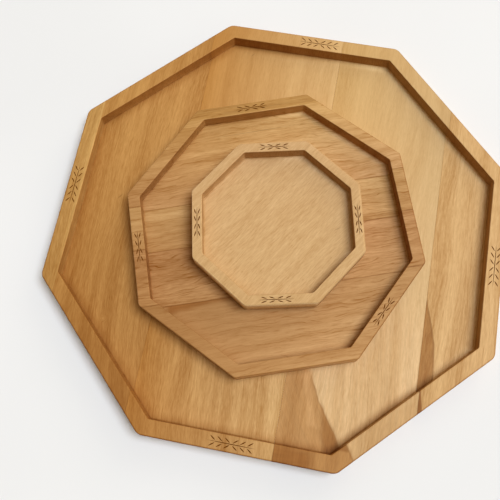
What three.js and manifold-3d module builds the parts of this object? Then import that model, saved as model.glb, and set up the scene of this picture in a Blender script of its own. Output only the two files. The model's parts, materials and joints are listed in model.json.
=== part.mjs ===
// Nesting set of three octagonal wooden trays: large, medium and small.
// Each tray is a panel of wooden staves glued edge to edge, with a flat recess milled into its top
// that leaves a raised rim. The medium tray rests loosely in the large one, and the small tray
// rests loosely in the medium one.
// Millimetres, +Z up. The origin is the centre of the large tray's underside.

import * as THREE from 'three';
import { mergeVertices } from 'three/addons/utils/BufferGeometryUtils.js';
import Module from 'manifold-3d';

const wasm = await Module();
wasm.setup();

// All three trays are milled from the same board.
const BOARD_THICKNESS = 19;
const POCKET_DEPTH = 12.7;
const FLOOR_THICKNESS = BOARD_THICKNESS - POCKET_DEPTH;

// Clearance under a resting tray, and the width of a glue line between two staves.
const REST_GAP = 0.3;
const GLUE_LINE = 0.3;

// Fineness of the rounded shapes: a corner has two straight pieces for each division.
const CORNER_DIVISIONS = 3;
const EDGE_ROUND_STEPS = 3;

// Each tray has its flats facing its own X and Y axes.
//   acrossFlats   width between two opposite outer walls
//   rim           width of the raised rim
//   outerCorner   radius of the outer wall's eight corners
//   innerCorner   radius of the recess's eight corners
//   edgeRound     rounding of the outer top and bottom edges
//   seams         places of the glue lines, measured across the staves
const LARGE = {
  acrossFlats: 400,
  rim: 14,
  outerCorner: 9,
  innerCorner: 3,
  edgeRound: 1,
  seams: [-97, 30, 141],
};
const MEDIUM = {
  acrossFlats: 252.5,
  rim: 10.9,
  outerCorner: 4,
  innerCorner: 3,
  edgeRound: 1.2,
  seams: [-54.5, -3, 38],
};
const SMALL = {
  acrossFlats: 151.5,
  rim: 9.2,
  outerCorner: 5,
  innerCorner: 3,
  edgeRound: 2.4,
};

// Where the loose trays lie: centre from the large tray's centre, and turn about Z in degrees.
const MEDIUM_PLACE = { x: -3.8, y: -4.2, turn: 19.2 };
const SMALL_PLACE = { x: -0.9, y: 0.5, turn: 12.6 };

const SIDES = 8;
const HALF_SIDE_ANGLE = Math.PI / SIDES;

// A regular octagon with rounded corners. flatRadius is the distance from its centre to a flat.
function octagonOutline(flatRadius, cornerRadius) {
  const outline = new THREE.Shape();
  const reach = (flatRadius - cornerRadius) / Math.cos(HALF_SIDE_ANGLE);
  for (let corner = 0; corner < SIDES; corner += 1) {
    const angle = (2 * corner + 1) * HALF_SIDE_ANGLE;
    const x = reach * Math.cos(angle);
    const y = reach * Math.sin(angle);
    outline.absarc(x, y, cornerRadius, angle - HALF_SIDE_ANGLE, angle + HALF_SIDE_ANGLE, false);
  }
  outline.closePath();
  return outline;
}

// The whole board, with its top and bottom edges rounded over.
function boardGeometry(tray) {
  const geometry = new THREE.ExtrudeGeometry(octagonOutline(tray.acrossFlats / 2, tray.outerCorner), {
    depth: BOARD_THICKNESS - 2 * tray.edgeRound,
    curveSegments: CORNER_DIVISIONS,
    bevelEnabled: true,
    bevelThickness: tray.edgeRound,
    bevelSize: tray.edgeRound,
    bevelOffset: -tray.edgeRound,
    bevelSegments: EDGE_ROUND_STEPS,
  });
  geometry.translate(0, 0, tray.edgeRound);
  return geometry;
}

// What the router takes out: the recess, carried on above the rim.
function recessGeometry(tray) {
  const flatRadius = tray.acrossFlats / 2 - tray.rim;
  const geometry = new THREE.ExtrudeGeometry(octagonOutline(flatRadius, tray.innerCorner), {
    depth: 2 * POCKET_DEPTH,
    curveSegments: CORNER_DIVISIONS,
    bevelEnabled: false,
  });
  geometry.translate(0, 0, FLOOR_THICKNESS);
  return geometry;
}

function solidFrom(geometry) {
  const bare = geometry.clone();
  bare.deleteAttribute('normal');
  bare.deleteAttribute('uv');
  const merged = mergeVertices(bare, 1e-4);
  return new wasm.Manifold(new wasm.Mesh({
    numProp: 3,
    vertProperties: new Float32Array(merged.attributes.position.array),
    triVerts: new Uint32Array(merged.index.array),
  }));
}

function geometryFrom(solid) {
  const mesh = solid.getMesh();
  const geometry = new THREE.BufferGeometry();
  geometry.setAttribute('position', new THREE.BufferAttribute(mesh.vertProperties, 3));
  geometry.setIndex(new THREE.BufferAttribute(mesh.triVerts, 1));
  geometry.computeVertexNormals();
  return geometry;
}

function trayBody(tray) {
  return solidFrom(boardGeometry(tray)).subtract(solidFrom(recessGeometry(tray)));
}

// The space one stave takes up: a slab from one glue line to the next.
// Staves lie side by side along X or Y, whichever axis is named.
function staveSlab(tray, axis, low, high) {
  const length = 2 * tray.acrossFlats;
  const width = high - low;
  const middle = (low + high) / 2;
  const slab = axis === 'x'
    ? new THREE.BoxGeometry(width, length, length)
    : new THREE.BoxGeometry(length, width, length);
  slab.translate(axis === 'x' ? middle : 0, axis === 'x' ? 0 : middle, 0);
  return slab;
}

// One geometry for each stave of a tray, in order along the axis.
function staveGeometries(tray, axis) {
  const body = trayBody(tray);
  const lows = [-tray.acrossFlats, ...tray.seams.map((seam) => seam + GLUE_LINE / 2)];
  const highs = [...tray.seams.map((seam) => seam - GLUE_LINE / 2), tray.acrossFlats];
  return lows.map((low, index) => {
    const slab = solidFrom(staveSlab(tray, axis, low, highs[index]));
    return geometryFrom(body.intersect(slab));
  });
}

function woodPiece(name, geometry, colour) {
  const material = new THREE.MeshStandardMaterial({ color: colour, roughness: 0.55, metalness: 0 });
  material.name = name;
  const piece = new THREE.Mesh(geometry, material);
  piece.name = name;
  return piece;
}

// Staves run front to back in the large tray, so they are counted from left to right.
function largeTray() {
  const tray = new THREE.Group();
  const geometries = staveGeometries(LARGE, 'x');
  tray.add(woodPiece('large_tray_stave_far_left', geometries[0], 0xb8803f));
  tray.add(woodPiece('large_tray_stave_centre_left', geometries[1], 0xc99a5c));
  tray.add(woodPiece('large_tray_stave_centre_right', geometries[2], 0xd6ab72));
  tray.add(woodPiece('large_tray_stave_far_right', geometries[3], 0xc18a4c));
  return tray;
}

// Staves run left to right in the medium tray, so they are counted from front to back.
function mediumTray() {
  const tray = new THREE.Group();
  const geometries = staveGeometries(MEDIUM, 'y');
  tray.add(woodPiece('medium_tray_stave_front', geometries[0], 0xbb8551));
  tray.add(woodPiece('medium_tray_stave_mid_front', geometries[1], 0xb17a4a));
  tray.add(woodPiece('medium_tray_stave_mid_back', geometries[2], 0xc6935a));
  tray.add(woodPiece('medium_tray_stave_back', geometries[3], 0xc29060));
  return tray;
}

function smallTray() {
  const tray = new THREE.Group();
  tray.add(woodPiece('small_tray_body', geometryFrom(trayBody(SMALL)), 0xd0a56c));
  return tray;
}

// A tray that rests loosely inside another: level is the height of the floor below it.
function layIn(tray, place, level) {
  tray.position.set(place.x, place.y, level + REST_GAP);
  tray.rotation.z = THREE.MathUtils.degToRad(place.turn);
  return tray;
}

const MEDIUM_LEVEL = FLOOR_THICKNESS;
const SMALL_LEVEL = MEDIUM_LEVEL + REST_GAP + FLOOR_THICKNESS;

const traySet = new THREE.Group();
traySet.add(largeTray());
traySet.add(layIn(mediumTray(), MEDIUM_PLACE, MEDIUM_LEVEL));
traySet.add(layIn(smallTray(), SMALL_PLACE, SMALL_LEVEL));

export default traySet;
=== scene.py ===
"""Looks for a nesting set of three octagonal wooden trays.

Every stave of every tray is rebuilt with eased edges, filleted recesses and V-carved ornaments,
in the place its CAD node holds, and gets its own cut of oiled beech.
Lengths are metres in the frame of the set. The wood's figure is worked out in millimetres.
"""

import json
import math

import bmesh
import bpy
import numpy as np
from mathutils import Matrix, Vector


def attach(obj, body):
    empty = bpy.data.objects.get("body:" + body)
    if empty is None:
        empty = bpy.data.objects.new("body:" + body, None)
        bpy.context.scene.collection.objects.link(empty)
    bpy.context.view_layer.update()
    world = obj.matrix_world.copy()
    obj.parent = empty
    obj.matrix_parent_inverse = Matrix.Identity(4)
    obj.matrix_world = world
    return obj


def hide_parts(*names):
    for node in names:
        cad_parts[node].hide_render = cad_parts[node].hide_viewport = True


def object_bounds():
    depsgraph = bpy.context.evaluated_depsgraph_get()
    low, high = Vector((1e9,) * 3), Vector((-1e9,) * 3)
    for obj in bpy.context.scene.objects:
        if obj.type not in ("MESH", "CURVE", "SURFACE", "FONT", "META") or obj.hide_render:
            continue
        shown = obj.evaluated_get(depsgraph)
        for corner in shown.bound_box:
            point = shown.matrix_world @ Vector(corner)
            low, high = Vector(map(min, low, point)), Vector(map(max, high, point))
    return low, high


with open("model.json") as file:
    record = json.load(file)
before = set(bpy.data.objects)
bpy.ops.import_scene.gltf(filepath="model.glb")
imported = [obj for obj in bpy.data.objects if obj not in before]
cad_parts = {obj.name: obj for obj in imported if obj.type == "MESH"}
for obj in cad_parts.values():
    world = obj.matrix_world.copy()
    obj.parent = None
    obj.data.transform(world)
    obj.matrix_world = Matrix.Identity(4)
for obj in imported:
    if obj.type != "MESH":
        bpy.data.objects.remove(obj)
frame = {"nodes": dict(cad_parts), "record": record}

CAD_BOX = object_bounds()
MM = 0.001
SIDES = 8
HALF_SIDE_ANGLE = math.pi / SIDES

# The way the light mostly comes from: the back right.
BACK_RIGHT = (0.75, 0.66, 0.0)

# ---------------------------------------------------------------- trays

# Shape of each tray, in metres. Its outline, levels and staves come from the CAD nodes.
#   turn         how far the tray is turned about Z, in degrees
#   across       the tray's own axis that its staves lie side by side along
#   rim          width of the raised rim
#   corner       radius of the outer wall's corners
#   top_edge     rounding of the outer top edge on the tray's left and on its right
#   bottom_edge  rounding of the outer bottom edge
#   marks        sides that carry a carved ornament, counted anticlockwise from the tray's +X side,
#                and how far along its side each ornament's middle lies
#   mark_length  length of each ornament along its side, and mark_height its width across the rim
TRAYS = {
    "large_tray": {
        "turn": 0.0,
        "across": "x",
        "rim": 0.014,
        "corner": 0.009,
        "top_edge": (0.001, 0.001),
        "bottom_edge": 0.0015,
        "marks": {0: -0.003, 2: -0.007, 4: -0.007, 6: -0.005},
        "mark_length": 0.041,
        "mark_height": 0.0086,
    },
    "medium_tray": {
        "turn": 19.2,
        "across": "y",
        "rim": 0.0109,
        "corner": 0.004,
        "top_edge": (0.0007, 0.0014),
        "bottom_edge": 0.0028,
        "marks": {2: 0.002, 4: 0.0, 7: -0.006},
        "mark_length": 0.032,
        "mark_height": 0.0054,
    },
    "small_tray": {
        "turn": 12.6,
        "across": "y",
        "rim": 0.0092,
        "corner": 0.006,
        "top_edge": (0.0008, 0.0024),
        "bottom_edge": 0.0034,
        "marks": {0: -0.002, 2: 0.0, 4: -0.001, 6: -0.004},
        "mark_length": 0.031,
        "mark_height": 0.0052,
    },
}

RECESS_CORNER = 0.003
RECESS_LIP = 0.0007
FLOOR_FILLET = 0.0008
FLOOR_THICKNESS = 0.0063
SEAM_GAP = 0.00008

CORNER_STEPS = 8
EDGE_STEPS = 5
CUT_TOLERANCE = 1e-7
SHARP_ANGLE = 35

# Carved strokes. Their cutter stands a little proud of the rim and is a little wider than the stroke
# there. A stroke swells from its ends to its middle as a power of a sine.
CARVE_DEPTH = 0.0004
CARVE_WIDTH = 0.00095
STEM_WIDTH = CARVE_WIDTH * 0.8
LEAF_WIDTH = CARVE_WIDTH * 1.15
STROKE_STEPS = 8
STROKE_ROUNDING = 0.6
LEAST_DEPTH = 0.04
CUTTER_RISE = 0.0003
CUTTER_SPARE = 0.25

# Leaves of a sprig: their greatest spacing, how clear of the stem and of the middle they start, and
# how much of their spacing they lean.
LEAF_PITCH = 0.0065
STEM_CLEARANCE = CARVE_WIDTH * 0.95
MIDDLE_CLEARANCE = STEM_CLEARANCE * 1.2
LEAF_LEAN = 0.75


def tray_axes(tray):
    """The tray's own X and Y directions in the frame of the set."""
    turn = math.radians(tray["turn"])
    return Vector((math.cos(turn), math.sin(turn), 0)), Vector((-math.sin(turn), math.cos(turn), 0))


def node_points(names):
    """Every corner of the named CAD nodes."""
    return [v.co.copy() for name in names for v in frame["nodes"][name].data.vertices]


def measure_tray(tray, nodes):
    """Reads centre, flat radius, levels and stave edges from the CAD nodes."""
    points = node_points(nodes)
    low = Vector(map(min, *points))
    high = Vector(map(max, *points))
    tray["centre"] = Vector(((low.x + high.x) / 2, (low.y + high.y) / 2, 0))
    tray["bottom"] = low.z
    tray["top"] = high.z
    axis_x, axis_y = tray_axes(tray)
    tray["flat_radius"] = max((p - tray["centre"]).dot(axis_x) for p in points)
    axis = axis_x if tray["across"] == "x" else axis_y
    spans = []
    for name in nodes:
        reach = [(p - tray["centre"]).dot(axis) for p in node_points([name])]
        spans.append([name, min(reach), max(reach)])
    spans.sort(key=lambda span: span[1])
    for left, right in zip(spans, spans[1:]):
        seam = (left[2] + right[1]) / 2
        left[2] = seam - SEAM_GAP / 2
        right[1] = seam + SEAM_GAP / 2
    tray["staves"] = spans


def quarter_turn(steps):
    """Sine and cosine pairs that sweep a quarter circle."""
    angles = [math.pi / 2 * i / steps for i in range(steps + 1)]
    return [(math.sin(angle), math.cos(angle)) for angle in angles]


def tray_profile(tray, top_edge):
    """(inset from the outer flat, height, corner radius) from the underside round to the floor."""
    bottom, top = tray["bottom"], tray["top"]
    floor = bottom + FLOOR_THICKNESS
    rim, corner = tray["rim"], tray["corner"]
    bottom_edge = tray["bottom_edge"]
    profile = []
    for sine, cosine in quarter_turn(EDGE_STEPS):
        inset = bottom_edge * (1 - sine)
        profile.append((inset, bottom + bottom_edge * (1 - cosine), corner - inset))
    for sine, cosine in quarter_turn(EDGE_STEPS):
        inset = top_edge * (1 - cosine)
        profile.append((inset, top - top_edge * (1 - sine), corner - inset))
    for sine, cosine in quarter_turn(EDGE_STEPS):
        back = RECESS_LIP * (1 - sine)
        profile.append((rim - back, top - RECESS_LIP * (1 - cosine), RECESS_CORNER + back))
    for sine, cosine in quarter_turn(EDGE_STEPS):
        forward = FLOOR_FILLET * (1 - cosine)
        height = floor + FLOOR_FILLET * (1 - sine)
        profile.append((rim + forward, height, RECESS_CORNER - forward))
    return profile


def upright_section(tray, corner_angle, turn):
    """The profile's points, in the tray's own axes, where a corner's arc has turned to turn."""
    left, right = tray["top_edge"]
    top_edge = left + (right - left) * (1 + math.cos(turn)) / 2
    section = []
    for inset, height, radius in tray_profile(tray, top_edge):
        reach = (tray["flat_radius"] - inset - radius) / math.cos(HALF_SIDE_ANGLE)
        section.append((
            reach * math.cos(corner_angle) + radius * math.cos(turn),
            reach * math.sin(corner_angle) + radius * math.sin(turn),
            height,
        ))
    return section


def tray_mesh(tray):
    """A bmesh of the whole tray, as one closed skin, in the frame of the set."""
    axis_x, axis_y = tray_axes(tray)
    mesh = bmesh.new()
    sections = []
    for corner in range(SIDES):
        corner_angle = (2 * corner + 1) * HALF_SIDE_ANGLE
        for step in range(CORNER_STEPS + 1):
            turn = corner_angle + HALF_SIDE_ANGLE * (2 * step / CORNER_STEPS - 1)
            section = []
            for x, y, height in upright_section(tray, corner_angle, turn):
                place = tray["centre"] + axis_x * x + axis_y * y
                section.append(mesh.verts.new((place.x, place.y, height)))
            sections.append(section)
    for here, ahead in zip(sections, sections[1:] + sections[:1]):
        for i in range(len(here) - 1):
            mesh.faces.new((here[i], ahead[i], ahead[i + 1], here[i + 1]))
    mesh.faces.new([section[0] for section in reversed(sections)])
    mesh.faces.new([section[-1] for section in sections])
    return mesh


def cut_away(mesh, point, normal):
    """Removes what lies beyond the plane and closes the cut with one flat face."""
    everything = mesh.verts[:] + mesh.edges[:] + mesh.faces[:]
    bmesh.ops.bisect_plane(
        mesh, geom=everything, dist=CUT_TOLERANCE, plane_co=point, plane_no=normal, clear_outer=True,
    )
    rim = [edge for edge in mesh.edges if edge.is_boundary]
    if rim:
        bmesh.ops.contextual_create(mesh, geom=rim)


def stave_mesh(tray, whole, low, high):
    """The part of the tray between two glue lines."""
    axis_x, axis_y = tray_axes(tray)
    axis = axis_x if tray["across"] == "x" else axis_y
    mesh = whole.copy()
    if low > -tray["flat_radius"] + MM:
        cut_away(mesh, tray["centre"] + axis * low, -axis)
    if high < tray["flat_radius"] - MM:
        cut_away(mesh, tray["centre"] + axis * high, axis)
    bmesh.ops.recalc_face_normals(mesh, faces=mesh.faces)
    return mesh


# ---------------------------------------------------------------- carved ornaments

def carve_stroke(mesh, on_rim, start, end, width):
    """Adds the cutter of one V-shaped stroke, thickest at its middle, to a cutter mesh."""
    spare = width * CUTTER_SPARE
    start, end = Vector(start), Vector(end)
    sideways = (end - start).normalized().orthogonal()
    stations = []
    for step in range(STROKE_STEPS + 1):
        share = step / STROKE_STEPS
        swell = math.sin(math.pi * share) ** STROKE_ROUNDING if 0 < step < STROKE_STEPS else 0.0
        middle = start.lerp(end, share)
        half = sideways * (width / 2 * swell + spare)
        depth = CARVE_DEPTH * max(swell, LEAST_DEPTH)
        stations.append([
            mesh.verts.new(on_rim(middle.x + half.x, middle.y + half.y, CUTTER_RISE)),
            mesh.verts.new(on_rim(middle.x - half.x, middle.y - half.y, CUTTER_RISE)),
            mesh.verts.new(on_rim(middle.x, middle.y, -depth)),
        ])
    for near, far in zip(stations, stations[1:]):
        for i in range(3):
            j = (i + 1) % 3
            mesh.faces.new((near[i], near[j], far[j], far[i]))
    mesh.faces.new(list(reversed(stations[0])))
    mesh.faces.new(stations[-1])


def leaf_sprig(mesh, on_rim, length, height):
    """A plain sprig: one long stem with pairs of slanting leaves that point away from its middle."""
    pairs = round(length / 2 / LEAF_PITCH)
    pitch = (length / 2 - STEM_CLEARANCE * 2) / pairs
    lean = pitch * LEAF_LEAN
    carve_stroke(mesh, on_rim, (-length / 2, 0), (length / 2, 0), STEM_WIDTH)
    for way in (-1, 1):
        for pair in range(pairs):
            foot = MIDDLE_CLEARANCE + pair * pitch
            for side in (-1, 1):
                start = (way * foot, side * STEM_CLEARANCE)
                end = (way * (foot + lean), side * height / 2)
                carve_stroke(mesh, on_rim, start, end, LEAF_WIDTH)


def carving_cutter(tray, name):
    """One object that holds the cutters of all the tray's ornaments."""
    axis_x, axis_y = tray_axes(tray)
    mesh = bmesh.new()
    middle_of_rim = tray["flat_radius"] - tray["rim"] / 2
    for side, shift in tray["marks"].items():
        angle = side * 2 * HALF_SIDE_ANGLE
        outward = axis_x * math.cos(angle) + axis_y * math.sin(angle)
        along = Vector((-outward.y, outward.x, 0))
        foot = tray["centre"] + outward * middle_of_rim + along * shift

        def on_rim(sideways, out, rise):
            place = foot + along * sideways + outward * out
            return (place.x, place.y, tray["top"] + rise)

        leaf_sprig(mesh, on_rim, tray["mark_length"], tray["mark_height"])
    bmesh.ops.recalc_face_normals(mesh, faces=mesh.faces)
    data = bpy.data.meshes.new(name)
    mesh.to_mesh(data)
    mesh.free()
    data.materials.append(burnt_wood())
    cutter = bpy.data.objects.new(name, data)
    bpy.context.scene.collection.objects.link(cutter)
    return cutter


# ---------------------------------------------------------------- node helpers

def linear(colour):
    """Display colour, 0 to 255 a channel, as linear light."""
    def one(value):
        value /= 255
        return value / 12.92 if value <= 0.04045 else ((value + 0.055) / 1.055) ** 2.4
    return (*[one(value) for value in colour], 1.0)


class Graph:
    """A material's node tree, built by calls that return output sockets."""

    def __init__(self, name):
        self.material = bpy.data.materials.new(name)
        self.material.use_nodes = True
        self.tree = self.material.node_tree
        self.tree.nodes.clear()

    def feed(self, socket, value):
        if isinstance(value, bpy.types.NodeSocket):
            self.tree.links.new(value, socket)
        else:
            socket.default_value = value

    def node(self, kind, *values, settings=None, **named):
        """A node with its first inputs fed in order and the rest by name, _ standing for a space."""
        made = self.tree.nodes.new(kind)
        for key, value in (settings or {}).items():
            setattr(made, key, value)
        for index, value in enumerate(values):
            self.feed(made.inputs[index], value)
        for key, value in named.items():
            self.feed(made.inputs[key.replace("_", " ")], value)
        return made

    def math(self, operation, *values):
        return self.node("ShaderNodeMath", *values, settings={"operation": operation}).outputs[0]

    def add(self, *values):
        total = values[0]
        for value in values[1:]:
            total = self.math("ADD", total, value)
        return total

    def times(self, *values):
        total = values[0]
        for value in values[1:]:
            total = self.math("MULTIPLY", total, value)
        return total

    def vector(self, operation, *values):
        return self.node("ShaderNodeVectorMath", *values, settings={"operation": operation}).outputs[0]

    def dot(self, a, b):
        made = self.node("ShaderNodeVectorMath", a, b, settings={"operation": "DOT_PRODUCT"})
        return made.outputs["Value"]

    def combine(self, x, y, z):
        return self.node("ShaderNodeCombineXYZ", x, y, z).outputs[0]

    def split(self, vector):
        return self.node("ShaderNodeSeparateXYZ", vector).outputs

    def turn(self, vector, degrees):
        """The vector turned about Z."""
        made = self.node(
            "ShaderNodeVectorRotate", settings={"rotation_type": "Z_AXIS"},
            Vector=vector, Angle=math.radians(degrees),
        )
        return made.outputs[0]

    def noise(self, vector, detail=2.0, rough=0.5):
        """Noise about 0, mostly between -0.25 and 0.25."""
        made = self.node("ShaderNodeTexNoise", Vector=vector, Scale=1.0, Detail=detail, Roughness=rough)
        return self.math("SUBTRACT", made.outputs["Fac"], 0.5)

    def ease(self, value, low, high):
        """0 below low, 1 above high, smooth in between. low may be above high."""
        made = self.node(
            "ShaderNodeMapRange", settings={"interpolation_type": "SMOOTHSTEP"},
            Value=value, From_Min=low, From_Max=high,
        )
        return made.outputs["Result"]

    def mix(self, share, a, b):
        made = self.tree.nodes.new("ShaderNodeMix")
        made.data_type = "RGBA"
        self.feed(made.inputs[0], share)
        self.feed(made.inputs[6], a)
        self.feed(made.inputs[7], b)
        return made.outputs[2]


# ---------------------------------------------------------------- wood

# How each tray's beech is cut and finished. Lengths are millimetres.
#   grain            direction of the fibres from the tray's own X, in degrees
#   bend, ripple     how far the fibres wander, slowly and quickly
#   bands            strength of the broad bands, and their width and length
#   streaks          the same for the narrow streaks
#   fibres           the same for single fibres
#   lines            the same for the thin dark lines that end each year's growth
#   flecks           strength of the short dark ray flecks, and their width and length
#   seam             how dark the glue lines show
#   wall             painted shade: how much light the routed recess wall keeps, at the back right
#                    where it faces away from the light, and at the front left where it faces it
#   outside          painted light and shade: how much light the outer wall keeps, on the right and on
#                    the left, and how much of that is left at its foot
#   arris            painted shade and light: how much light the rounded top edge keeps, on the right
#                    and on the left, and how much of that is left at the front
#   rim              how much light the rim keeps, at the back and at the front
#   foot             painted shade and light on the floor where it meets the wall: how much darker it
#                    gets at the back right and at the front left (painted light below 0), and how far
#                    out
#   crease           painted shade: how dark the corner between floor and wall is, at the back and at the front
CUTS = {
    "large_tray": {
        "grain": 90.0, "bend": 9.0, "ripple": 1.2,
        "bands": (0.46, 13.0, 260.0), "streaks": (0.22, 2.6, 60.0), "fibres": (0.42, 1.0, 9.0),
        "lines": (0.035, 4.2, 110.0), "flecks": (0.10, 1.0, 5.5), "seam": 0.10,
        "wall": (0.56, 0.94), "outside": (0.80, 0.90, 0.80), "arris": (0.80, 0.80, 0.50),
        "rim": (0.96, 0.78), "foot": (-0.60, 0.28, 9.0), "crease": (0.15, 0.36),
    },
    "medium_tray": {
        "grain": 0.0, "bend": 5.0, "ripple": 2.0,
        "bands": (0.52, 9.0, 120.0), "streaks": (0.38, 2.4, 30.0), "fibres": (0.42, 1.0, 9.0),
        "lines": (0.10, 3.1, 40.0), "flecks": (0.12, 1.1, 4.0), "seam": 0.28,
        "wall": (0.60, 0.88), "outside": (0.60, 1.45, 0.60), "arris": (0.74, 1.10, 0.74),
        "rim": (0.92, 0.88), "foot": (-0.60, 0.10, 7.0), "crease": (0.17, 0.06),
    },
    "small_tray": {
        "grain": 44.0, "bend": 3.0, "ripple": 0.8,
        "bands": (0.20, 9.0, 120.0), "streaks": (0.20, 2.2, 18.0), "fibres": (0.50, 1.0, 8.0),
        "lines": (0.03, 3.4, 40.0), "flecks": (0.14, 1.1, 4.0), "seam": 0.0,
        "wall": (0.62, 0.90), "outside": (1.12, 1.80, 0.55), "arris": (1.00, 1.12, 1.00),
        "rim": (0.98, 0.94), "foot": (-0.60, 0.05, 7.0), "crease": (0.17, 0.20),
    },
}

# The tone of each stave at its two edges, low and high along the axis the staves lie along, as seen
# in soft light. Other pairs hold a value where the fibres start, at the front or left, and one where
# they end, at the back or right.
#   light    how much light the tone keeps, partly the wood's own tone and partly painted light
#            that falls off across the set
#   figure   how strongly the bands, streaks, fibres and lines show
#   lean     how many degrees the fibres run off the stave's length
#   sweep    how many more they lean where they start
STAVES = {
    "large_tray_stave_far_left": {
        "low": (180, 130, 70), "high": (182, 131, 72),
        "light": (0.82, 1.02), "figure": (2.0, 1.9), "lean": 3.0, "sweep": 6.0,
    },
    "large_tray_stave_centre_left": {
        "low": (189, 135, 71), "high": (215, 175, 120),
        "light": (0.84, 0.95), "figure": (2.0, 0.85), "lean": 3.0, "sweep": 5.0,
    },
    "large_tray_stave_centre_right": {
        "low": (212, 172, 114), "high": (211, 176, 126),
        "light": (1.00, 0.92), "figure": (1.4, 0.85), "lean": 0.0, "sweep": 2.0,
    },
    "large_tray_stave_far_right": {
        "low": (206, 164, 110), "high": (211, 169, 116),
        "light": (0.96, 1.00), "figure": (2.0, 1.6), "lean": -1.0, "sweep": 0.0,
    },
    "medium_tray_stave_front": {
        "low": (194, 148, 96), "high": (174, 128, 79),
        "light": (0.87, 1.12), "figure": (0.8, 1.4), "lean": 1.5, "sweep": 0.0,
    },
    "medium_tray_stave_mid_front": {
        "low": (172, 124, 75), "high": (171, 122, 75),
        "light": (1.00, 1.28), "figure": (2.1, 1.8), "lean": 1.0, "sweep": 0.0,
    },
    "medium_tray_stave_mid_back": {
        "low": (179, 132, 81), "high": (188, 145, 93),
        "light": (1.00, 1.08), "figure": (1.3, 1.8), "lean": 0.5, "sweep": 0.0,
    },
    "medium_tray_stave_back": {
        "low": (189, 143, 94), "high": (196, 151, 92),
        "light": (0.87, 1.18), "figure": (1.4, 1.4), "lean": 1.0, "sweep": 0.0,
    },
    "small_tray_body": {
        "low": (205, 166, 115), "high": (203, 163, 115),
        "light": (1.00, 1.00), "figure": (1.3, 1.3), "lean": 0.0, "sweep": 0.0,
    },
}

# Areas of another tone: heartwood, and a pale patch of painted sheen on the large tray's centre right
# stave. Each lies to the left of all its lines, which run from one point to another on the recess floor
# in the tray's own plane. soft is how many millimetres its edge takes, tilt how far the edge draws in
# for each millimetre of height, waver how far the edge wanders, edge how dark the edge itself is, and
# grain the direction of its own streaks from the tray's X.
HEARTWOOD_AND_PAINTED_SHEEN = {
    "large_tray_stave_far_left": [
        {
            "lines": [((-186.0, -100.0), (-186.0, 100.0))],
            "tone": (191, 146, 85), "grain": 90.0,
            "soft": 0.5, "tilt": 0.0, "waver": 1.0, "edge": 0.0,
        },
    ],
    "large_tray_stave_centre_right": [
        # A pale patch with a wide soft edge: painted sheen, where light glints on the oiled floor.
        {
            "lines": [((141.0, -52.0), (30.0, -30.0))],
            "tone": (213, 175, 126), "grain": 90.0,
            "soft": 30.0, "tilt": 0.0, "waver": 5.0, "edge": 0.0,
        },
        {
            "lines": [((80.6, -173.6), (47.1, -119.6))],
            "tone": (184, 137, 84), "grain": -58.0,
            "soft": 0.8, "tilt": -0.35, "waver": 5.0, "edge": 0.2,
        },
        {
            "lines": [
                ((64.0, -176.0), (51.0, -125.0)),
                ((43.0, -124.0), (58.0, -176.0)),
                ((40.0, -166.0), (80.0, -166.0)),
            ],
            "tone": (197, 150, 97), "grain": -66.0,
            "soft": 2.4, "tilt": 0.0, "waver": 5.0, "edge": 0.0,
        },
        {
            "lines": [
                ((80.6, -173.6), (47.1, -119.6)),
                ((61.0, -134.0), (70.0, -182.0)),
            ],
            "tone": (161, 111, 59), "grain": -60.0,
            "soft": 3.0, "tilt": -0.35, "waver": 5.0, "edge": 0.1,
        },
        {
            "lines": [
                ((80.6, -173.6), (47.1, -119.6)),
                ((83.0, -185.7), (49.0, -185.7)),
            ],
            "tone": (186, 138, 83), "grain": 78.0,
            "soft": 1.2, "tilt": -0.35, "waver": 0.0, "edge": 0.0,
        },
        {
            "lines": [
                ((62.0, -200.0), (58.0, -180.0)),
                ((83.0, -185.7), (49.0, -185.7)),
            ],
            "tone": (162, 110, 56), "grain": 8.0,
            "soft": 6.0, "tilt": 0.0, "waver": 5.0, "edge": 0.0,
        },
    ],
    "large_tray_stave_far_right": [
        {
            "lines": [
                ((153.6, -106.0), (152.0, -78.0)),
                ((152.6, -81.0), (141.3, -40.0)),
            ],
            "tone": (176, 128, 74), "grain": 84.0,
            "soft": 0.7, "tilt": 1.6, "waver": 1.5, "edge": 0.2,
        },
        {
            "lines": [
                ((145.0, -140.0), (141.8, -121.0)),
                ((150.0, -119.0), (140.0, -119.0)),
            ],
            "tone": (156, 106, 56), "grain": 84.0,
            "soft": 0.5, "tilt": 0.0, "waver": 1.0, "edge": 0.0,
        },
    ],
    "medium_tray_stave_back": [
        {
            "lines": [((-60.0, 116.0), (60.0, 116.0))],
            "tone": (178, 132, 74), "grain": 1.0,
            "soft": 0.5, "tilt": 0.0, "waver": 1.0, "edge": 0.0,
        },
    ],
    "medium_tray_stave_front": [
        {
            "lines": [
                ((-104.0, -62.0), (-60.0, -57.0)),
                ((-103.0, 0.0), (-103.0, -100.0)),
            ],
            "tone": (154, 102, 52), "grain": 2.0,
            "soft": 3.0, "tilt": 0.0, "waver": 5.0, "edge": 0.0,
        },
    ],
}

# Short dark marks that grew in the wood: middle, length, width, direction and darkness.
MARKS = {
    "large_tray_stave_far_left": [((-152.0, 7.0), 9.0, 1.1, 55.0, 0.35)],
    "large_tray_stave_centre_left": [((-57.0, 178.0), 8.0, 1.0, 50.0, 0.30)],
    "medium_tray_stave_back": [
        ((0.0, 102.0), 120.0, 0.9, 1.0, 0.30),
        ((4.0, 119.5), 90.0, 0.8, 1.0, 0.30),
    ],
    "small_tray_body": [((54.0, -6.0), 9.0, 0.9, 24.0, 0.30)],
}

# Small knots that the fibres bend round: middle, reach, and how far the fibres are pushed.
KNOTS = {
    "large_tray_stave_far_left": [((-138.0, -109.0), 9.0, 5.0)],
}

# Shade moves blue most and red least, so that dark wood is warmer and pale wood is creamier.
SHADE_BY_CHANNEL = (0.7, 1.0, 1.45)
LEAST_GAIN = 0.1

# Seeds shift each stave's pattern by up to this many millimetres.
SEED_REACH = 400
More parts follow.
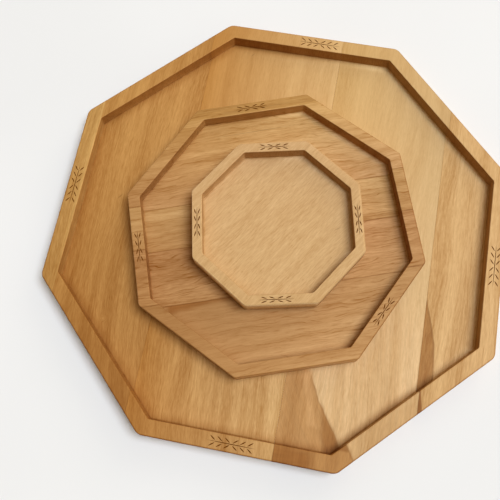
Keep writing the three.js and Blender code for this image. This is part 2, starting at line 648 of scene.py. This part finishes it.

# Length and width of the fibres' slow bends and quick ripples, and of the streaks within the areas of
# heartwood and painted sheen.
BEND_SIZE = (150, 60)
RIPPLE_SIZE = (26, 9)
AREA_STREAK = (34, 2.6)
AREA_STREAK_STRENGTH = 0.34
AREA_WANDER = 20
AREA_EDGE = (2.2, 0.2)
SWEEP_REACH = 400

# Layers of figure: how many seeds a layer is shifted, so that no two layers match, and the detail and
# roughness of its noise.
LAYERS = {"bands": (6, 1.5, 0.5), "streaks": (8, 2.0, 0.6), "fibres": (7, 2.0, 0.7)}
YEAR_DRIFT_SHIFT = 3.0
CLEAR_YEAR_SHIFT = 4.0
FLECK_SHIFT = 1.0

# Growth lines: how far their spacing drifts, and how a line rises slowly and ends sharply within a year.
YEAR_DRIFT = 5.0
YEAR_RISE = (0.55, 0.9)
YEAR_END = (1.0, 0.94)
CLEAR_YEARS = (-0.04, 0.12)

# Ray flecks: the size of one in its cell, and how many cells have one.
FLECK_SIZE = (0.36, 0.12)
FLECK_RARITY = (0.5, 0.9)

# How deep flecks and growth lines lie in the finest relief, beside the fibres' 1.
FLECK_RELIEF = 0.35
LINE_RELIEF = 0.1

# Some shade is painted into the wood, as a soft light from the back right would leave it. The pairs
# below say where it starts and where it is full. These are parts of a unit normal: how far a face
# points up or down, towards the light, to the right, to the back or along the fibres.
UPRIGHT = (0.75, 0.3)
LEVEL = (0.3, 0.75)
TO_LIGHT = (-0.7, 0.1)
OUTER_WALL_TO_LEFT = (0.9, 0.3)
TOP_EDGE_TO_LEFT = (0.35, -0.35)
TOP_EDGE_TO_FRONT = (-0.1, -0.5)
END_ON = (0.35, 0.95)

# Shares of the tray's flat radius: along FOOT_WAY, to the back, and along the fibres.
FOOT_WAY = (0.9, 0.35, 0.0)
FOOT_TO_BACK = (0.25, 0.75)
RIM_TO_FRONT = (-0.3, -0.9)
CREASE_TO_FRONT = (-0.3, -0.8)
START_TO_END = (-0.8, 0.6)

# Shares of the rim's width from the outer wall, and of the tray's height.
OUTER_TO_INNER = (0.45, 0.55)
OUTER_WALL_TO_FOOT = (0.9, 0.1)

# Millimetres in from the outer wall, and up from the tray's top.
TOP_EDGE_INSET = (1.6, 0.8)
TOP_EDGE_HEIGHT = (-2.5, -1.2)
LIP_HEIGHT = (-6.0, -1.5)
WALL_FOOT_HEIGHT = (-6.0, -12.0)

# Millimetres in from the recess wall, and up from the recess floor.
RIM_END = (0.1, -0.1)
FLOOR_START = (-0.2, 0.2)
FLOOR_HEIGHT = (2.0, 0.5)
CREASE_START = (-0.4, 0.0)
CREASE_END = (1.8, 0.5)
CREASE_HEIGHT = (1.6, 0.3)

# Router marks and patches of handling and dirt, and how strongly they show.
CHATTER_BY_MM = (0.9, 0.12)
PATCHES_BY_MM = (0.12, 0.12, 0.03)
CHATTER_ON_RECESS = 0.35
CHATTER_ON_END_GRAIN = 0.9
PATCHES_ON_RECESS = 0.5
PATCHES_ON_LIP = 12.0
PATCHES_ON_CREASE = 0.7

# How much darker the recess wall's lip and the end grain are, and how much painted light brightens
# the foot of the wall that faces the light.
LIP_LOSS = 0.12
WALL_FOOT_GAIN = 0.18
END_GRAIN_LOSS = 0.2

# Millimetres from a glue line, and shares of a spot's reach.
SEAM_REACH = (0.9, 0.2)
SPOT_EDGE = (1.0, 0.2)

ROUGHNESS = 0.48
ROUGHER_BY_RELIEF = 0.25
ROUGHER_BY_END_GRAIN = 0.15
SPECULAR = 0.08
BUMP_STRENGTH = 0.5
BUMP_DEPTH = 0.00015


def seed_offset(name):
    """A shift of the pattern that is the same on every run and differs from piece to piece."""
    number = sum((i + 1) * ord(letter) for i, letter in enumerate(name))
    generator = np.random.default_rng(number)
    return tuple(float(value) for value in generator.uniform(-SEED_REACH, SEED_REACH, 3))


def own_place(graph, tray):
    """The shaded point in the tray's own axes, in millimetres from its centre and the underside."""
    place = graph.node("ShaderNodeTexCoord").outputs["Object"]
    corner = (tray["centre"].x, tray["centre"].y, tray["bottom"])
    turned = graph.turn(graph.vector("SUBTRACT", place, corner), -tray["turn"])
    return graph.vector("MULTIPLY", turned, (1 / MM, 1 / MM, 1 / MM))


def stretched(graph, point, size):
    """The point scaled so that noise on it gets the given length, along X, and width."""
    length, width = size
    return graph.vector("MULTIPLY", point, (1 / length, 1 / width, 1 / width))


def fibre_place(graph, name, own, cut, stave, seed):
    """The point along, across and up the wandering fibres, in millimetres."""
    straight = graph.turn(own, -(cut["grain"] + stave["lean"]))
    along, across, up = graph.split(straight)
    shifted = graph.vector("ADD", straight, seed)
    slow = graph.noise(stretched(graph, shifted, BEND_SIZE), detail=1)
    quick = graph.noise(stretched(graph, shifted, RIPPLE_SIZE), detail=2)
    bend = graph.times(slow, 2 * cut["bend"])
    ripple = graph.times(quick, 2 * cut["ripple"])
    sweep = graph.times(along, along, math.tan(math.radians(stave["sweep"])) / SWEEP_REACH)
    across = graph.add(across, bend, ripple, sweep)
    for middle, reach, push in KNOTS.get(name, ()):
        near = spot(graph, own, middle, reach, reach, 0.0)
        across = graph.add(across, graph.times(near, near, push))
    return along, across, up


def spot(graph, own, middle, length, width, degrees):
    """1 in the middle of a soft oval, 0 outside it, on the floor and on the rim alike."""
    place = graph.turn(graph.vector("SUBTRACT", own, (*middle, 0.0)), -degrees)
    flat = graph.vector("MULTIPLY", place, (2 / length, 2 / width, 0.0))
    away = graph.node("ShaderNodeVectorMath", flat, settings={"operation": "LENGTH"}).outputs["Value"]
    return graph.ease(away, *SPOT_EDGE)


def between(graph, share, pair):
    """The value that lies this share of the way through the pair."""
    return graph.add(pair[0], graph.times(share, pair[1] - pair[0]))


def figure_shade(graph, cut, figure, along, across, up, seed):
    """How much lighter or darker the figure makes the wood, and its finest relief."""
    def figure_place(width, length, shift):
        place = graph.combine(
            graph.times(along, 1 / length), graph.times(across, 1 / width), graph.times(up, 1 / width),
        )
        return graph.vector("ADD", place, tuple(value * shift for value in seed))

    def layer(name):
        strength, width, length = cut[name]
        shift, detail, rough = LAYERS[name]
        noise = graph.noise(figure_place(width, length, shift), detail=detail, rough=rough)
        return noise, strength

    bands, band_strength = layer("bands")
    streaks, streak_strength = layer("streaks")
    fibres, fibre_strength = layer("fibres")

    line_strength, spacing, length = cut["lines"]
    drift = graph.noise(figure_place(spacing * 4, length, YEAR_DRIFT_SHIFT), detail=2)
    years = graph.add(
        graph.times(across, 1 / spacing), graph.times(up, 0.5 / spacing), graph.times(drift, YEAR_DRIFT),
    )
    year = graph.math("FRACT", years)
    clearness = graph.noise(figure_place(spacing, length / 2, CLEAR_YEAR_SHIFT), detail=1)
    clear_years = graph.ease(clearness, *CLEAR_YEARS)
    lines = graph.times(graph.ease(year, *YEAR_RISE), graph.ease(year, *YEAR_END), clear_years)

    darkness, width, length = cut["flecks"]
    cells = graph.node(
        "ShaderNodeTexVoronoi", settings={"feature": "F1"},
        Vector=figure_place(width, length, FLECK_SHIFT), Scale=1.0,
    )
    rarity = graph.ease(graph.split(cells.outputs["Color"])[0], *FLECK_RARITY)
    flecks = graph.times(graph.ease(cells.outputs["Distance"], *FLECK_SIZE), rarity)
    shade = graph.add(
        graph.times(bands, band_strength), graph.times(streaks, streak_strength),
        graph.times(fibres, fibre_strength), graph.times(lines, -2 * line_strength),
    )
    shade = graph.add(graph.times(shade, figure), graph.times(flecks, -darkness))
    relief = graph.add(fibres, graph.times(flecks, -FLECK_RELIEF), graph.times(lines, -LINE_RELIEF))
    return shade, relief


def left_of(graph, own, start, end):
    """How far the point lies to the left of a line from start to end, in millimetres."""
    way = Vector(end) - Vector(start)
    way.normalize()
    normal = (-way.y, way.x, 0.0)
    return graph.math("SUBTRACT", graph.dot(own, normal), Vector(start).dot(Vector(normal[:2])))


def shaded(graph, tone, kept):
    """The tone with the same share of every channel kept."""
    return graph.vector("MULTIPLY", tone, graph.combine(kept, kept, kept))


def area_tone(graph, own, area, reach):
    """The streaked tone of one area, dark along its edge. reach is how far in the point lies."""
    streaked = stretched(graph, graph.turn(own, -area["grain"]), AREA_STREAK)
    streaks = graph.times(graph.noise(streaked, detail=3, rough=0.6), AREA_STREAK_STRENGTH)
    edge = graph.times(graph.ease(reach, *AREA_EDGE), -area["edge"])
    return shaded(graph, linear(area["tone"])[:3], graph.add(1.0, streaks, edge))


def add_heartwood_and_painted_sheen(graph, name, own, tone):
    """The stave's tone with its darker heartwood, its pale painted sheen and its marks laid in."""
    wander = graph.noise(stretched(graph, own, (AREA_WANDER, AREA_WANDER)))
    height = graph.math("SUBTRACT", graph.split(own)[2], FLOOR_THICKNESS / MM)
    for area in HEARTWOOD_AND_PAINTED_SHEEN.get(name, ()):
        shift = graph.add(graph.times(wander, area["waver"]), graph.times(height, -area["tilt"]))
        reaches = [graph.add(left_of(graph, own, *line), shift) for line in area["lines"]]
        reach = reaches[0]
        for other in reaches[1:]:
            reach = graph.math("MINIMUM", reach, other)
        inside = graph.ease(reach, -area["soft"], area["soft"])
        tone = graph.mix(inside, tone, area_tone(graph, own, area, reach))
    for middle, length, width, degrees, darkness in MARKS.get(name, ()):
        mark = spot(graph, own, middle, length, width, degrees)
        tone = shaded(graph, tone, graph.math("SUBTRACT", 1.0, graph.times(mark, darkness)))
    return tone


def distance_in(graph, tray, own):
    """How far the point lies in from the nearest outer flat, in millimetres."""
    x, y, _ = graph.split(own)
    reach_x = graph.math("ABSOLUTE", x)
    reach_y = graph.math("ABSOLUTE", y)
    slant = graph.times(graph.add(reach_x, reach_y), math.sqrt(0.5))
    reach = graph.math("MAXIMUM", graph.math("MAXIMUM", reach_x, reach_y), slant)
    return graph.math("SUBTRACT", tray["flat_radius"] / MM, reach)


def laid_on(graph, share, kept):
    """The light kept where the share is 1, and all of it where the share is 0."""
    return graph.add(1.0, graph.times(share, graph.math("SUBTRACT", kept, 1.0)))


def scaled(pair, size):
    """Both values of the pair, in units of this size."""
    return [value * size for value in pair]


def moved(pair, start):
    """Both values of the pair, counted from this start."""
    return [value + start for value in pair]


def recess_wall_light(graph, cut, top, up, normal, chatter, patches):
    """Painted shade on the routed wall round the recess: the share of light it keeps, least away from
    the light.
    """
    lit = graph.ease(graph.dot(normal, BACK_RIGHT), *TO_LIGHT)
    ragged = graph.add(up, graph.times(patches, PATCHES_ON_LIP))
    lip = graph.times(graph.ease(ragged, *moved(LIP_HEIGHT, top)), -LIP_LOSS)
    foot = graph.ease(up, *moved(WALL_FOOT_HEIGHT, top))
    foot = graph.times(foot, lit, WALL_FOOT_GAIN)
    dirt = graph.times(patches, PATCHES_ON_RECESS)
    kept = graph.times(between(graph, lit, cut["wall"]), graph.add(1.0, lip, foot, dirt))
    return graph.add(kept, graph.times(chatter, CHATTER_ON_RECESS))


def outer_wall_light(graph, cut, top, up, toward_x, chatter, end_grain):
    """Painted light and shade: the share of light the outer wall keeps, by side, and darker towards its
    foot.
    """
    right, left, base = cut["outside"]
    kept = between(graph, graph.ease(toward_x, *OUTER_WALL_TO_LEFT), (right, left))
    to_foot = graph.ease(up, *scaled(OUTER_WALL_TO_FOOT, top))
    kept = graph.times(kept, between(graph, to_foot, (1.0, base)))
    return graph.add(kept, graph.times(chatter, end_grain, CHATTER_ON_END_GRAIN))


def top_edge_light(graph, cut, toward_x, toward_y):
    """Painted shade and light: the share of light kept by the rounded outer top edge."""
    right, left, front = cut["arris"]
    kept = between(graph, graph.ease(toward_x, *TOP_EDGE_TO_LEFT), (right, left))
    return graph.times(kept, between(graph, graph.ease(toward_y, *TOP_EDGE_TO_FRONT), (1.0, front)))


def wall_light(graph, tray, cut, inset, up, normal, across, end_grain, patches):
    """The painted share of light kept by the recess wall, the outer wall and the outer top edge."""
    toward_x, toward_y, rise = graph.split(normal)
    top = (tray["top"] - tray["bottom"]) / MM
    rim = tray["rim"] / MM
    upright = graph.ease(graph.math("ABSOLUTE", rise), *UPRIGHT)
    inner = graph.ease(inset, *scaled(OUTER_TO_INNER, rim))
    outer = graph.math("SUBTRACT", 1.0, inner)
    near_top = graph.ease(up, *moved(TOP_EDGE_HEIGHT, top))
    on_edge = graph.times(graph.ease(inset, *TOP_EDGE_INSET), near_top)
    by_across, by_up = CHATTER_BY_MM
    router = graph.combine(graph.times(across, by_across), graph.times(up, by_up), 0.0)
    chatter = graph.noise(router, detail=2)

    recess = recess_wall_light(graph, cut, top, up, normal, chatter, patches)
    outside = outer_wall_light(graph, cut, top, up, toward_x, chatter, end_grain)
    edge = top_edge_light(graph, cut, toward_x, toward_y)
    return graph.times(
        laid_on(graph, graph.times(upright, inner), recess),
        laid_on(graph, graph.times(upright, outer), outside),
        laid_on(graph, on_edge, edge),
    )


def seam_light(graph, tray, cut, own, low_edge, high_edge):
    """The share of light kept beside the stave's glue lines."""
    x, y, _ = graph.split(own)
    place = x if tray["across"] == "x" else y
    kept = 1.0
    for edge in (low_edge, high_edge):
        if abs(edge) < tray["flat_radius"] - MM:
            away = graph.math("ABSOLUTE", graph.math("SUBTRACT", place, edge / MM))
            loss = graph.times(graph.ease(away, *SEAM_REACH), -cut["seam"])
            kept = graph.times(kept, graph.add(1.0, loss))
    return kept


def rim_loss(graph, cut, rim, reach, y, inset, rise):
    """How much light the rim loses, changing from its back to its front."""
    back, front = cut["rim"]
    on_rim = graph.times(graph.ease(inset, *moved(RIM_END, rim)), graph.ease(rise, *LEVEL))
    front_change = graph.times(graph.ease(y, *scaled(RIM_TO_FRONT, reach)), front - back)
    return graph.times(on_rim, graph.add(back - 1, front_change))


def foot_loss(graph, cut, rim, floor, reach, own, inset, up):
    """Painted shade and light: how much light the floor loses beside the wall, below 0 where it is lit
    up.
    """
    back, front, width = cut["foot"]
    to_back = graph.ease(graph.dot(own, FOOT_WAY), *scaled(FOOT_TO_BACK, reach))
    on_floor = graph.ease(inset, *moved(FLOOR_START, rim))
    near = graph.times(on_floor, graph.ease(inset, rim + width, rim))
    low = graph.ease(up, *moved(FLOOR_HEIGHT, floor))
    return graph.times(near, low, between(graph, to_back, (-front, -back)))


def crease_loss(graph, cut, rim, floor, reach, y, inset, up, patches):
    """Painted shade: how much light the corner between floor and wall loses."""
    to_front = graph.ease(y, *scaled(CREASE_TO_FRONT, reach))
    depth = graph.times(between(graph, to_front, cut["crease"]), -1.0)
    return graph.times(
        graph.ease(inset, *moved(CREASE_START, rim)),
        graph.ease(inset, *moved(CREASE_END, rim)),
        graph.ease(up, *moved(CREASE_HEIGHT, floor)),
        graph.add(depth, graph.times(patches, PATCHES_ON_CREASE)),
    )


def kept_light(graph, tray, cut, own, normal, facing, across):
    """Painted light and shade on walls, edges and the floor beside the walls, the rim's change and the
    end grain's own darkness, as a share of light kept; and where the end grain is.
    """
    _, y, up = graph.split(own)
    inset = distance_in(graph, tray, own)
    rim = tray["rim"] / MM
    floor = FLOOR_THICKNESS / MM
    reach = tray["flat_radius"] / MM
    rise = graph.math("ABSOLUTE", graph.split(normal)[2])
    end_grain = graph.ease(facing, *END_ON)
    patches = graph.noise(graph.vector("MULTIPLY", own, PATCHES_BY_MM), detail=4)
    kept = wall_light(graph, tray, cut, inset, up, normal, across, end_grain, patches)
    losses = (
        rim_loss(graph, cut, rim, reach, y, inset, rise),
        foot_loss(graph, cut, rim, floor, reach, own, inset, up),
        crease_loss(graph, cut, rim, floor, reach, y, inset, up, patches),
        graph.times(end_grain, -END_GRAIN_LOSS),
    )
    return graph.times(kept, *[graph.add(1.0, loss) for loss in losses]), end_grain


def beech(name, tray, cut, low_edge, high_edge):
    """The material of one stave, cut from its own piece of wood."""
    stave = STAVES[name]
    seed = seed_offset(name)
    graph = Graph(name + "_beech")
    own = own_place(graph, tray)
    x, y, _ = graph.split(own)
    along, across, up = fibre_place(graph, name, own, cut, stave, seed)
    reach = tray["flat_radius"] / MM
    from_start = graph.ease(along, *scaled(START_TO_END, reach))
    figure = between(graph, from_start, stave["figure"])
    shade, relief = figure_shade(graph, cut, figure, along, across, up, seed)

    share = graph.node(
        "ShaderNodeMapRange", Value=x if tray["across"] == "x" else y,
        From_Min=low_edge / MM, From_Max=high_edge / MM,
    ).outputs["Result"]
    tone = graph.mix(share, linear(stave["low"]), linear(stave["high"]))
    tone = add_heartwood_and_painted_sheen(graph, name, own, tone)

    normal = graph.node("ShaderNodeNewGeometry").outputs["Normal"]
    fibre_way = math.radians(tray["turn"] + cut["grain"] + stave["lean"])
    facing = graph.math("ABSOLUTE", graph.dot(normal, (math.cos(fibre_way), math.sin(fibre_way), 0)))
    # Painted light and shade, with the end grain's own darkness.
    kept, end_grain = kept_light(graph, tray, cut, own, normal, facing, across)
    # Painted light falling off along the fibres, partly the stave's own tone.
    kept = graph.times(kept, between(graph, from_start, stave["light"]))
    kept = graph.times(kept, seam_light(graph, tray, cut, own, low_edge, high_edge))

    gains = [graph.add(1.0, graph.times(shade, by)) for by in SHADE_BY_CHANNEL]
    gains = [graph.math("MAXIMUM", gain, LEAST_GAIN) for gain in gains]
    warm = [graph.math("POWER", kept, by) for by in SHADE_BY_CHANNEL]
    colour = graph.vector("MULTIPLY", tone, graph.combine(*gains))
    colour = graph.vector("MULTIPLY", colour, graph.combine(*warm))

    rough = graph.add(
        ROUGHNESS, graph.times(relief, ROUGHER_BY_RELIEF), graph.times(end_grain, ROUGHER_BY_END_GRAIN),
    )
    bump = graph.node(
        "ShaderNodeBump", Strength=BUMP_STRENGTH, Distance=BUMP_DEPTH, Height=relief,
    ).outputs[0]
    surface = graph.node("ShaderNodeBsdfPrincipled", Base_Color=colour, Roughness=rough, Normal=bump)
    surface.inputs["Specular IOR Level"].default_value = SPECULAR
    graph.node("ShaderNodeOutputMaterial", surface.outputs[0])
    return graph.material


BURNT_TONES = ((84, 42, 4), (122, 70, 14))
BURNT_ROUGHNESS = 0.85
CHAR_BY_METRE = 900
NOISE_SPAN = (-0.2, 0.2)


def burnt_wood():
    """Browned wood in the bottom of a carved stroke."""
    found = bpy.data.materials.get("burnt_wood")
    if found:
        return found
    graph = Graph("burnt_wood")
    place = graph.node("ShaderNodeTexCoord").outputs["Object"]
    char = graph.noise(graph.vector("MULTIPLY", place, (CHAR_BY_METRE,) * 3), detail=3)
    dark, light = BURNT_TONES
    colour = graph.mix(graph.ease(char, *NOISE_SPAN), linear(dark), linear(light))
    surface = graph.node("ShaderNodeBsdfPrincipled", Base_Color=colour, Roughness=BURNT_ROUGHNESS)
    surface.inputs["Specular IOR Level"].default_value = 0.0
    graph.node("ShaderNodeOutputMaterial", surface.outputs[0])
    return graph.material


# ---------------------------------------------------------------- pieces

def apply_modifiers(obj):
    """Makes what the modifiers do part of the mesh."""
    depsgraph = bpy.context.evaluated_depsgraph_get()
    final = bpy.data.meshes.new_from_object(obj.evaluated_get(depsgraph), depsgraph=depsgraph)
    obj.modifiers.clear()
    obj.data = final


def make_stave(body, tray, whole, cutter, span):
    """One carved stave, in its CAD node's place and riding on its tray."""
    node, low, high = span
    mesh = stave_mesh(tray, whole, low, high)
    data = bpy.data.meshes.new(node + "_wood")
    mesh.to_mesh(data)
    mesh.free()
    data.materials.append(beech(node, tray, CUTS[body], low, high))
    data.polygons.foreach_set("use_smooth", [True] * len(data.polygons))
    data.set_sharp_from_angle(angle=math.radians(SHARP_ANGLE))
    stave = bpy.data.objects.new(node + "_wood", data)
    bpy.context.scene.collection.objects.link(stave)
    carve = stave.modifiers.new("carve", "BOOLEAN")
    carve.object = cutter
    carve.operation = "DIFFERENCE"
    carve.solver = "EXACT"
    carve.material_mode = "TRANSFER"
    soften = stave.modifiers.new("soften", "WEIGHTED_NORMAL")
    soften.keep_sharp = True
    apply_modifiers(stave)
    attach(stave, body)
    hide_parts(node)


def make_tray(body):
    """All the staves of one tray."""
    tray = TRAYS[body]
    measure_tray(tray, frame["record"]["behaviour"]["bodies"][body])
    whole = tray_mesh(tray)
    cutter = carving_cutter(tray, body + "_cutter")
    for span in tray["staves"]:
        make_stave(body, tray, whole, cutter, span)
    whole.free()
    bpy.data.objects.remove(cutter)


# ---------------------------------------------------------------- stage

CAMERA_PLACE = Vector((0.0253, -0.1819, 0.5626))
CAMERA_TARGET = Vector((-0.0223, -0.0216, 0.0))
CAMERA_ROLL = -5.99
CAMERA_LENS = 45.72
SENSOR_WIDTH = 36.0

FLOOR_RADIUS = 6.0
FLOOR_DROP = 0.0001
FLOOR_SEGMENTS = 96
FLOOR_ROUGHNESS = 0.8
CLOUDS_BY_METRE = 3
FLOOR_TONES = ((236, 236, 237), (232, 232, 233))

# Where each light stands, and its power. The key is a sun, and the others are soft round panels.
KEY_PLACE = (1.02, 0.14, 2.40)
KEY_POWER = 2.64
KEY_COLOUR = (0.93, 1.03, 1.13)
KEY_ANGLE = 34
PANELS = {"fill": ((-0.8, -1.6, 0.4), 3.0), "back_fill": ((0.9, 1.6, 0.9), 6.5)}
PANEL_COLOUR = (1.0, 0.93, 0.78)
PANEL_SIZE = 1.2

# Light from all round, least at the front left and most at the back right.
GLOW_COLOUR = (1.0, 0.72, 0.38, 1.0)
GLOW_RANGE = (0.12, 0.48)
GLOW_REACH = 0.8
BACKDROP_COLOUR = (0.95, 0.95, 0.95, 1.0)


def make_floor():
    """A large round pale floor just under the trays."""
    mesh = bmesh.new()
    bmesh.ops.create_circle(mesh, cap_ends=True, segments=FLOOR_SEGMENTS, radius=FLOOR_RADIUS)
    data = bpy.data.meshes.new("floor")
    mesh.to_mesh(data)
    mesh.free()
    floor = bpy.data.objects.new("floor", data)
    floor.location.z = CAD_BOX[0].z - FLOOR_DROP
    graph = Graph("pale_floor")
    place = graph.node("ShaderNodeTexCoord").outputs["Object"]
    cloud = graph.noise(graph.vector("MULTIPLY", place, (CLOUDS_BY_METRE,) * 3))
    pale, dull = FLOOR_TONES
    colour = graph.mix(graph.ease(cloud, *NOISE_SPAN), linear(pale), linear(dull))
    surface = graph.node("ShaderNodeBsdfPrincipled", Base_Color=colour, Roughness=FLOOR_ROUGHNESS)
    graph.node("ShaderNodeOutputMaterial", surface.outputs[0])
    data.materials.append(graph.material)
    bpy.context.scene.collection.objects.link(floor)


def make_light(name, kind, place, power, colour):
    """A light at the place, aimed at the trays."""
    data = bpy.data.lights.new(name, kind)
    data.energy = power
    data.color = colour
    light = bpy.data.objects.new(name, data)
    light.location = place
    light.rotation_euler = (-Vector(place)).to_track_quat("-Z", "Y").to_euler()
    bpy.context.scene.collection.objects.link(light)
    return data


def make_lights():
    """A soft key light from the right and two dim warm panels."""
    key = make_light("key", "SUN", KEY_PLACE, KEY_POWER, KEY_COLOUR)
    key.angle = math.radians(KEY_ANGLE)
    for name, (place, power) in PANELS.items():
        panel = make_light(name, "AREA", place, power, PANEL_COLOUR)
        panel.shape = "DISK"
        panel.size = PANEL_SIZE
    bpy.context.scene.view_settings.view_transform = "Standard"


def make_surroundings():
    """Dim warm light, fullest from the back right, behind a backdrop that the camera sees as pale."""
    world = bpy.data.worlds.new("studio")
    world.use_nodes = True
    nodes, links = world.node_tree.nodes, world.node_tree.links
    glow = nodes["Background"]
    glow.inputs["Color"].default_value = GLOW_COLOUR
    way = nodes.new("ShaderNodeTexCoord")
    toward = nodes.new("ShaderNodeVectorMath")
    toward.operation = "DOT_PRODUCT"
    toward.inputs[1].default_value = BACK_RIGHT
    strength = nodes.new("ShaderNodeMapRange")
    strength.inputs["From Min"].default_value = -GLOW_REACH
    strength.inputs["From Max"].default_value = GLOW_REACH
    strength.inputs["To Min"].default_value, strength.inputs["To Max"].default_value = GLOW_RANGE
    links.new(way.outputs["Generated"], toward.inputs[0])
    links.new(toward.outputs["Value"], strength.inputs["Value"])
    links.new(strength.outputs["Result"], glow.inputs["Strength"])
    backdrop = nodes.new("ShaderNodeBackground")
    backdrop.inputs["Color"].default_value = BACKDROP_COLOUR
    seen = nodes.new("ShaderNodeLightPath")
    choice = nodes.new("ShaderNodeMixShader")
    links.new(seen.outputs["Is Camera Ray"], choice.inputs["Fac"])
    links.new(glow.outputs["Background"], choice.inputs[1])
    links.new(backdrop.outputs["Background"], choice.inputs[2])
    links.new(choice.outputs["Shader"], nodes["World Output"].inputs["Surface"])
    bpy.context.scene.world = world


def make_camera():
    """The camera, at the place and turn that give the reference view."""
    data = bpy.data.cameras.new("camera")
    data.lens = CAMERA_LENS
    data.sensor_width = SENSOR_WIDTH
    camera = bpy.data.objects.new("camera", data)
    look = (CAMERA_TARGET - CAMERA_PLACE).to_track_quat("-Z", "Y").to_matrix().to_4x4()
    roll = Matrix.Rotation(math.radians(CAMERA_ROLL), 4, "Z")
    camera.matrix_world = Matrix.Translation(CAMERA_PLACE) @ look @ roll
    bpy.context.scene.collection.objects.link(camera)
    bpy.context.scene.camera = camera


for body_name in TRAYS:
    make_tray(body_name)
make_floor()
make_lights()
make_surroundings()
make_camera()
